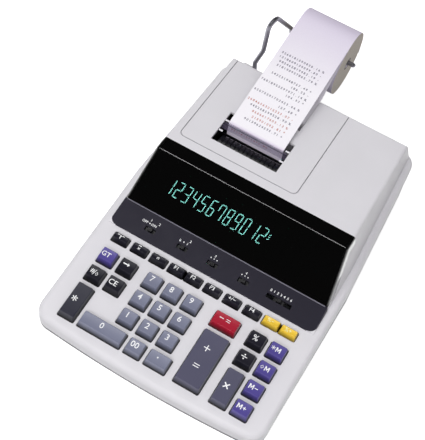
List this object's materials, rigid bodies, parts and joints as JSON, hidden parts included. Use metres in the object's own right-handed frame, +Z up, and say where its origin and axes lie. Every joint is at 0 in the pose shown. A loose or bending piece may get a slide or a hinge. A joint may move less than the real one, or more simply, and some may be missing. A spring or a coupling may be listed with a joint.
{
  "type": "printing calculator",
  "caption": "Desktop printing calculator with a digit display, sloping keyboard, printer under a sliding cover, and a paper roll on a swinging wire holder.",
  "frame": {"origin": "middle of the whole box, on the table", "axes": "+X to the right of the person typing, +Y from the keyboard back to the paper roll, +Z up"},
  "size_m": [0.226, 0.409, 0.1204],
  "materials": {
    "case_plastic": "fine matt",
    "lower_plastic": "fine matt",
    "lens": "gloss",
    "panel_plastic": "satin",
    "knob_plastic": "satin",
    "number_key": "satin",
    "function_key": "satin",
    "plus_key": "satin",
    "memory_key": "satin",
    "tax_key": "satin",
    "minus_key": "satin",
    "tube_glass": "gloss",
    "board": "satin",
    "contact_rubber": "matt",
    "transformer_steel": "matt",
    "frame_steel": "satin",
    "drum_steel": "satin",
    "roller_rubber": "matt",
    "cassette_plastic": "satin",
    "clear_plastic": "gloss",
    "paper": "matt",
    "wire_steel": "satin",
    "foot_rubber": "matt",
    "screw_steel": "satin"
  },
  "bodies": {
    "case": {"lower_case": "lower_plastic", "upper_case": "case_plastic", "display_lens": "lens", "switch_panel": "panel_plastic", "display_tube": "tube_glass", "circuit_board": "board", "contact_sheet": "contact_rubber", "power_transformer": "transformer_steel", "printer_frame": "frame_steel", "ribbon_cassette": "cassette_plastic", "tear_bar": "clear_plastic", "paper_tape": "paper", "rubber_feet": "foot_rubber", "case_screws": "screw_steel"},
    "cover": {"printer_cover": "case_plastic"},
    "holder": {"roll_holder": "wire_steel"},
    "roll": {"paper_roll": "paper"},
    "drum": {"print_drum": "drum_steel"},
    "feed": {"feed_roller": "roller_rubber"},
    "key_grand_total": {"key_grand_total": "memory_key"},
    "key_backspace": {"key_backspace": "function_key"},
    "key_subtotal": {"key_subtotal": "function_key"},
    "key_clear_entry": {"key_clear_entry": "function_key"},
    "key_total": {"key_total": "plus_key"},
    "key_one": {"key_one": "number_key"},
    "key_two": {"key_two": "number_key"},
    "key_three": {"key_three": "number_key"},
    "key_four": {"key_four": "number_key"},
    "key_five": {"key_five": "number_key"},
    "key_six": {"key_six": "number_key"},
    "key_seven": {"key_seven": "number_key"},
    "key_eight": {"key_eight": "number_key"},
    "key_nine": {"key_nine": "number_key"},
    "key_zero": {"key_zero": "number_key"},
    "key_double_zero": {"key_double_zero": "number_key"},
    "key_point": {"key_point": "number_key"},
    "key_minus_equals": {"key_minus_equals": "minus_key"},
    "key_plus_equals": {"key_plus_equals": "plus_key"},
    "key_percent": {"key_percent": "function_key"},
    "key_divide": {"key_divide": "function_key"},
    "key_multiply": {"key_multiply": "plus_key"},
    "key_memory_plus": {"key_memory_plus": "memory_key"},
    "key_memory_minus": {"key_memory_minus": "memory_key"},
    "key_memory_subtotal": {"key_memory_subtotal": "memory_key"},
    "key_memory_total": {"key_memory_total": "memory_key"},
    "key_paper_feed": {"key_paper_feed": "function_key"},
    "key_average": {"key_average": "function_key"},
    "key_item_count": {"key_item_count": "function_key"},
    "key_rate_set": {"key_rate_set": "function_key"},
    "key_rate_recall": {"key_rate_recall": "function_key"},
    "key_time": {"key_time": "function_key"},
    "key_sign": {"key_sign": "function_key"},
    "key_markup": {"key_markup": "function_key"},
    "key_tax_minus": {"key_tax_minus": "tax_key"},
    "key_tax_plus": {"key_tax_plus": "tax_key"},
    "switch_power": {"switch_power": "knob_plastic"},
    "switch_rate": {"switch_rate": "knob_plastic"},
    "switch_round": {"switch_round": "knob_plastic"},
    "switch_item": {"switch_item": "knob_plastic"},
    "switch_decimal": {"switch_decimal": "knob_plastic"}
  },
  "joints": [
    {"name": "cover_slide", "type": "slide", "parent": "case", "child": "cover", "axis": [0, 0.9991, -0.0431], "range_m": [0, 0.008]},
    {"name": "holder_swing", "type": "hinge", "parent": "case", "child": "holder", "pos_m": [-0.0845, 0.12702, 0.04599], "axis": [1, 0, 0], "range_deg": [-30, 0], "deforming": ["paper_tape"]},
    {"name": "roll_spin", "type": "hinge", "parent": "holder", "child": "roll", "pos_m": [-0.028, 0.17153, 0.06889], "axis": [1, 0, 0], "continuous": true},
    {"name": "drum_spin", "type": "hinge", "parent": "case", "child": "drum", "pos_m": [-0.028, 0.02212, 0.0575], "axis": [1, 0, 0], "continuous": true},
    {"name": "feed_spin", "type": "hinge", "parent": "case", "child": "feed", "pos_m": [-0.028, 0.04673, 0.04639], "axis": [1, 0, 0], "continuous": true},
    {"name": "press_grand_total", "type": "slide", "parent": "case", "child": "key_grand_total", "axis": [0, 0.1028, -0.9947], "range_m": [0, 0.003], "stiffness_N_per_m": 200, "springref_m": -0.001},
    {"name": "press_backspace", "type": "slide", "parent": "case", "child": "key_backspace", "axis": [0, 0.1028, -0.9947], "range_m": [0, 0.003], "stiffness_N_per_m": 200, "springref_m": -0.001},
    {"name": "press_subtotal", "type": "slide", "parent": "case", "child": "key_subtotal", "axis": [0, 0.1028, -0.9947], "range_m": [0, 0.003], "stiffness_N_per_m": 200, "springref_m": -0.001},
    {"name": "press_clear_entry", "type": "slide", "parent": "case", "child": "key_clear_entry", "axis": [0, 0.1028, -0.9947], "range_m": [0, 0.003], "stiffness_N_per_m": 200, "springref_m": -0.001},
    {"name": "press_total", "type": "slide", "parent": "case", "child": "key_total", "axis": [0, 0.1028, -0.9947], "range_m": [0, 0.003], "stiffness_N_per_m": 260, "springref_m": -0.001},
    {"name": "press_one", "type": "slide", "parent": "case", "child": "key_one", "axis": [0, 0.1028, -0.9947], "range_m": [0, 0.003], "stiffness_N_per_m": 200, "springref_m": -0.001},
    {"name": "press_two", "type": "slide", "parent": "case", "child": "key_two", "axis": [0, 0.1028, -0.9947], "range_m": [0, 0.003], "stiffness_N_per_m": 200, "springref_m": -0.001},
    {"name": "press_three", "type": "slide", "parent": "case", "child": "key_three", "axis": [0, 0.1028, -0.9947], "range_m": [0, 0.003], "stiffness_N_per_m": 200, "springref_m": -0.001},
    {"name": "press_four", "type": "slide", "parent": "case", "child": "key_four", "axis": [0, 0.1028, -0.9947], "range_m": [0, 0.003], "stiffness_N_per_m": 200, "springref_m": -0.001},
    {"name": "press_five", "type": "slide", "parent": "case", "child": "key_five", "axis": [0, 0.1028, -0.9947], "range_m": [0, 0.003], "stiffness_N_per_m": 200, "springref_m": -0.001},
    {"name": "press_six", "type": "slide", "parent": "case", "child": "key_six", "axis": [0, 0.1028, -0.9947], "range_m": [0, 0.003], "stiffness_N_per_m": 200, "springref_m": -0.001},
    {"name": "press_seven", "type": "slide", "parent": "case", "child": "key_seven", "axis": [0, 0.1028, -0.9947], "range_m": [0, 0.003], "stiffness_N_per_m": 200, "springref_m": -0.001},
    {"name": "press_eight", "type": "slide", "parent": "case", "child": "key_eight", "axis": [0, 0.1028, -0.9947], "range_m": [0, 0.003], "stiffness_N_per_m": 200, "springref_m": -0.001},
    {"name": "press_nine", "type": "slide", "parent": "case", "child": "key_nine", "axis": [0, 0.1028, -0.9947], "range_m": [0, 0.003], "stiffness_N_per_m": 200, "springref_m": -0.001},
    {"name": "press_zero", "type": "slide", "parent": "case", "child": "key_zero", "axis": [0, 0.1028, -0.9947], "range_m": [0, 0.003], "stiffness_N_per_m": 260, "springref_m": -0.001},
    {"name": "press_double_zero", "type": "slide", "parent": "case", "child": "key_double_zero", "axis": [0, 0.1028, -0.9947], "range_m": [0, 0.003], "stiffness_N_per_m": 200, "springref_m": -0.001},
    {"name": "press_point", "type": "slide", "parent": "case", "child": "key_point", "axis": [0, 0.1028, -0.9947], "range_m": [0, 0.003], "stiffness_N_per_m": 200, "springref_m": -0.001},
    {"name": "press_minus_equals", "type": "slide", "parent": "case", "child": "key_minus_equals", "axis": [0, 0.1028, -0.9947], "range_m": [0, 0.003], "stiffness_N_per_m": 200, "springref_m": -0.001},
    {"name": "press_plus_equals", "type": "slide", "parent": "case", "child": "key_plus_equals", "axis": [0, 0.1028, -0.9947], "range_m": [0, 0.003], "stiffness_N_per_m": 260, "springref_m": -0.001},
    {"name": "press_percent", "type": "slide", "parent": "case", "child": "key_percent", "axis": [0, 0.1028, -0.9947], "range_m": [0, 0.003], "stiffness_N_per_m": 200, "springref_m": -0.001},
    {"name": "press_divide", "type": "slide", "parent": "case", "child": "key_divide", "axis": [0, 0.1028, -0.9947], "range_m": [0, 0.003], "stiffness_N_per_m": 200, "springref_m": -0.001},
    {"name": "press_multiply", "type": "slide", "parent": "case", "child": "key_multiply", "axis": [0, 0.1028, -0.9947], "range_m": [0, 0.003], "stiffness_N_per_m": 260, "springref_m": -0.001},
    {"name": "press_memory_plus", "type": "slide", "parent": "case", "child": "key_memory_plus", "axis": [0, 0.1028, -0.9947], "range_m": [0, 0.003], "stiffness_N_per_m": 200, "springref_m": -0.001},
    {"name": "press_memory_minus", "type": "slide", "parent": "case", "child": "key_memory_minus", "axis": [0, 0.1028, -0.9947], "range_m": [0, 0.003], "stiffness_N_per_m": 200, "springref_m": -0.001},
    {"name": "press_memory_subtotal", "type": "slide", "parent": "case", "child": "key_memory_subtotal", "axis": [0, 0.1028, -0.9947], "range_m": [0, 0.003], "stiffness_N_per_m": 200, "springref_m": -0.001},
    {"name": "press_memory_total", "type": "slide", "parent": "case", "child": "key_memory_total", "axis": [0, 0.1028, -0.9947], "range_m": [0, 0.003], "stiffness_N_per_m": 200, "springref_m": -0.001},
    {"name": "press_paper_feed", "type": "slide", "parent": "case", "child": "key_paper_feed", "axis": [0, 0.1028, -0.9947], "range_m": [0, 0.003], "stiffness_N_per_m": 200, "springref_m": -0.001},
    {"name": "press_average", "type": "slide", "parent": "case", "child": "key_average", "axis": [0, 0.1028, -0.9947], "range_m": [0, 0.003], "stiffness_N_per_m": 200, "springref_m": -0.001},
    {"name": "press_item_count", "type": "slide", "parent": "case", "child": "key_item_count", "axis": [0, 0.1028, -0.9947], "range_m": [0, 0.003], "stiffness_N_per_m": 200, "springref_m": -0.001},
    {"name": "press_rate_set", "type": "slide", "parent": "case", "child": "key_rate_set", "axis": [0, 0.1028, -0.9947], "range_m": [0, 0.003], "stiffness_N_per_m": 200, "springref_m": -0.001},
    {"name": "press_rate_recall", "type": "slide", "parent": "case", "child": "key_rate_recall", "axis": [0, 0.1028, -0.9947], "range_m": [0, 0.003], "stiffness_N_per_m": 200, "springref_m": -0.001},
    {"name": "press_time", "type": "slide", "parent": "case", "child": "key_time", "axis": [0, 0.1028, -0.9947], "range_m": [0, 0.003], "stiffness_N_per_m": 200, "springref_m": -0.001},
    {"name": "press_sign", "type": "slide", "parent": "case", "child": "key_sign", "axis": [0, 0.1028, -0.9947], "range_m": [0, 0.003], "stiffness_N_per_m": 200, "springref_m": -0.001},
    {"name": "press_markup", "type": "slide", "parent": "case", "child": "key_markup", "axis": [0, 0.1028, -0.9947], "range_m": [0, 0.003], "stiffness_N_per_m": 200, "springref_m": -0.001},
    {"name": "press_tax_minus", "type": "slide", "parent": "case", "child": "key_tax_minus", "axis": [0, 0.1028, -0.9947], "range_m": [0, 0.003], "stiffness_N_per_m": 200, "springref_m": -0.001},
    {"name": "press_tax_plus", "type": "slide", "parent": "case", "child": "key_tax_plus", "axis": [0, 0.1028, -0.9947], "range_m": [0, 0.003], "stiffness_N_per_m": 200, "springref_m": -0.001},
    {"name": "slide_power", "type": "slide", "parent": "case", "child": "switch_power", "axis": [1, 0, 0], "range_m": [-0.003, 0.003]},
    {"name": "slide_rate", "type": "slide", "parent": "case", "child": "switch_rate", "axis": [1, 0, 0], "range_m": [-0.003, 0.003]},
    {"name": "slide_round", "type": "slide", "parent": "case", "child": "switch_round", "axis": [1, 0, 0], "range_m": [-0.003, 0.003]},
    {"name": "slide_item", "type": "slide", "parent": "case", "child": "switch_item", "axis": [1, 0, 0], "range_m": [-0.003, 0.003]},
    {"name": "slide_decimal", "type": "slide", "parent": "case", "child": "switch_decimal", "axis": [1, 0, 0], "range_m": [-0.01, 0.01]}
  ],
  "couplings": [
    {"joint": "feed_spin", "follows": "drum_spin", "ratio": -1.25}
  ]
}
